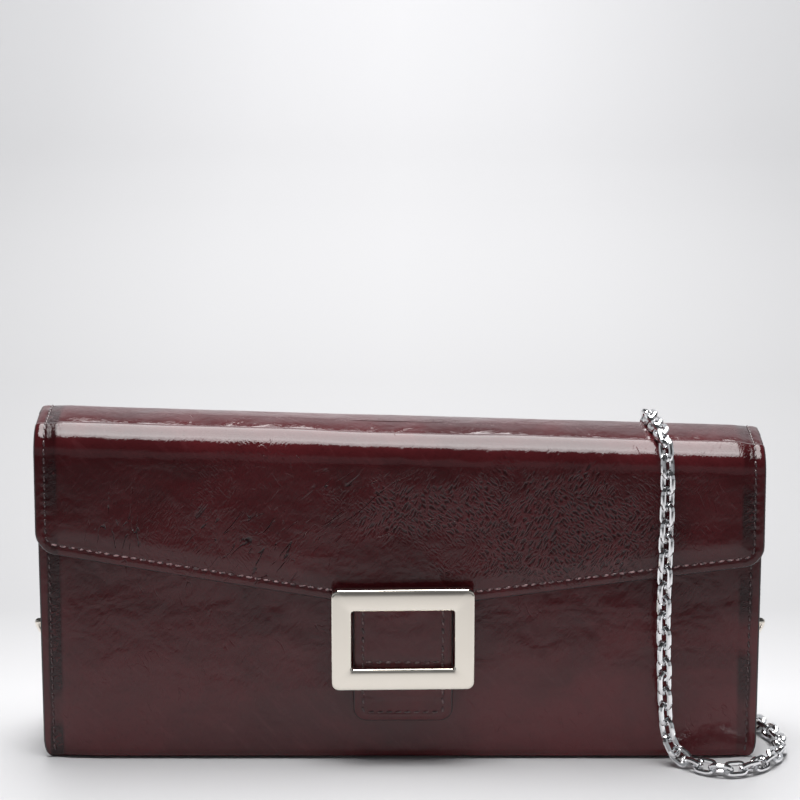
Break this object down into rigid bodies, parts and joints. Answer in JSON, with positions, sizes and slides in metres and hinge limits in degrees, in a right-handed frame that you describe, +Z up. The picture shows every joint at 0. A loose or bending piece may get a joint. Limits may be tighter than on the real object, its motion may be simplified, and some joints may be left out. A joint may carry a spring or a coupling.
{
  "type": "long wallet",
  "caption": "Long flap wallet in glossy leather with a frame buckle on the point of the flap, a chain strap, card pockets and a zip coin pocket",
  "frame": {"origin": "middle of the base, on the surface that the wallet stands on", "axes": "+Z up, -Y to the front with the flap and the buckle, +X along the length"},
  "size_m": [0.2079, 0.1052, 0.0951],
  "materials": {
    "patent_leather": "glossy patent, dark burgundy",
    "lining": "matte",
    "board": "pressed fibre board",
    "nickel": "polished nickel",
    "silver_chain": "polished, faceted links",
    "zip_tape": "woven"
  },
  "bodies": {
    "shell": {"shell_back": "patent_leather", "gusset_left_rear": "patent_leather", "gusset_left_front": "patent_leather", "gusset_right_rear": "patent_leather", "gusset_right_front": "patent_leather", "coin_wall_front": "patent_leather", "coin_wall_back": "patent_leather", "chape_left": "patent_leather", "chape_right": "patent_leather", "back_lining": "lining", "base_lining": "lining", "card_leaf_upper": "lining", "card_leaf_middle": "lining", "card_leaf_lower": "lining", "coin_side_strip": "lining", "back_filler": "board", "zip_teeth_front": "nickel", "zip_teeth_back": "nickel", "clasp_hook_left": "nickel", "clasp_pin_left": "nickel", "clasp_hook_right": "nickel", "clasp_pin_right": "nickel", "zip_tape_front": "zip_tape", "zip_tape_back": "zip_tape", "chain_left": "silver_chain", "chain_coil": "silver_chain", "chain_back": "silver_chain", "chain_drape": "silver_chain", "chain_right": "silver_chain"},
    "flap_top": {"flap_roof": "patent_leather", "flap_roof_lining": "lining"},
    "flap_drop": {"flap_front": "patent_leather", "flap_filler": "board", "flap_front_lining": "lining", "tab": "patent_leather", "tab_lining": "lining", "buckle_frame": "nickel", "buckle_plate": "nickel", "buckle_screw_left": "nickel", "buckle_screw_right": "nickel", "snap_male": "nickel"},
    "front_panel": {"shell_front": "patent_leather", "front_filler": "board", "front_lining": "lining", "snap_female": "nickel", "snap_washer": "nickel"},
    "slider": {"zip_slider": "nickel"},
    "puller": {"zip_puller": "nickel"},
    "d_ring_left": {"ring_left": "nickel"},
    "d_ring_right": {"ring_right": "nickel"},
    "gate_left": {"clasp_gate_left": "nickel"},
    "gate_right": {"clasp_gate_right": "nickel"}
  },
  "joints": [
    {"name": "flap_open", "type": "hinge", "parent": "shell", "child": "flap_top", "pos_m": [0, 0.0125, 0.0845], "axis": [-1, 0, 0], "range_deg": [0, 150], "deforming": ["chain_drape"]},
    {"name": "flap_unfold", "type": "hinge", "parent": "flap_top", "child": "flap_drop", "pos_m": [0, -0.01526, 0.08766], "axis": [-1, 0, 0], "range_deg": [0, 75]},
    {"name": "front_open", "type": "hinge", "parent": "shell", "child": "front_panel", "pos_m": [0, -0.0095, 0.003], "axis": [1, 0, 0], "range_deg": [0, 12], "deforming": ["gusset_left_front", "gusset_right_front"]},
    {"name": "zip_slide", "type": "slide", "parent": "shell", "child": "slider", "axis": [-1, 0, 0], "range_m": [0, 0.14]},
    {"name": "puller_swing", "type": "hinge", "parent": "slider", "child": "puller", "pos_m": [0.072, -0.0004, 0.0637], "axis": [0, 1, 0], "range_deg": [0, 125]},
    {"name": "ring_left_swing", "type": "hinge", "parent": "shell", "child": "d_ring_left", "pos_m": [-0.0915, 0.0151, 0.031], "axis": [1, 0, 0], "range_deg": [-6, 6]},
    {"name": "ring_right_swing", "type": "hinge", "parent": "shell", "child": "d_ring_right", "pos_m": [0.0915, 0.0151, 0.031], "axis": [1, 0, 0], "range_deg": [-6, 6]},
    {"name": "gate_left_open", "type": "hinge", "parent": "shell", "child": "gate_left", "pos_m": [-0.08888, 0.0269, 0.01641], "axis": [0.9535, -0.1206, 0.2761], "range_deg": [0, 28], "stiffness_Nm_per_rad": 0.01},
    {"name": "gate_right_open", "type": "hinge", "parent": "shell", "child": "gate_right", "pos_m": [0.08888, 0.0269, 0.01641], "axis": [0.9535, 0.1206, -0.2761], "range_deg": [0, 28], "stiffness_Nm_per_rad": 0.01}
  ],
  "couplings": [
    {"joint": "flap_unfold", "follows": "flap_open", "ratio": 0.5},
    {"joint": "front_open", "follows": "flap_open", "ratio": 0.08}
  ]
}
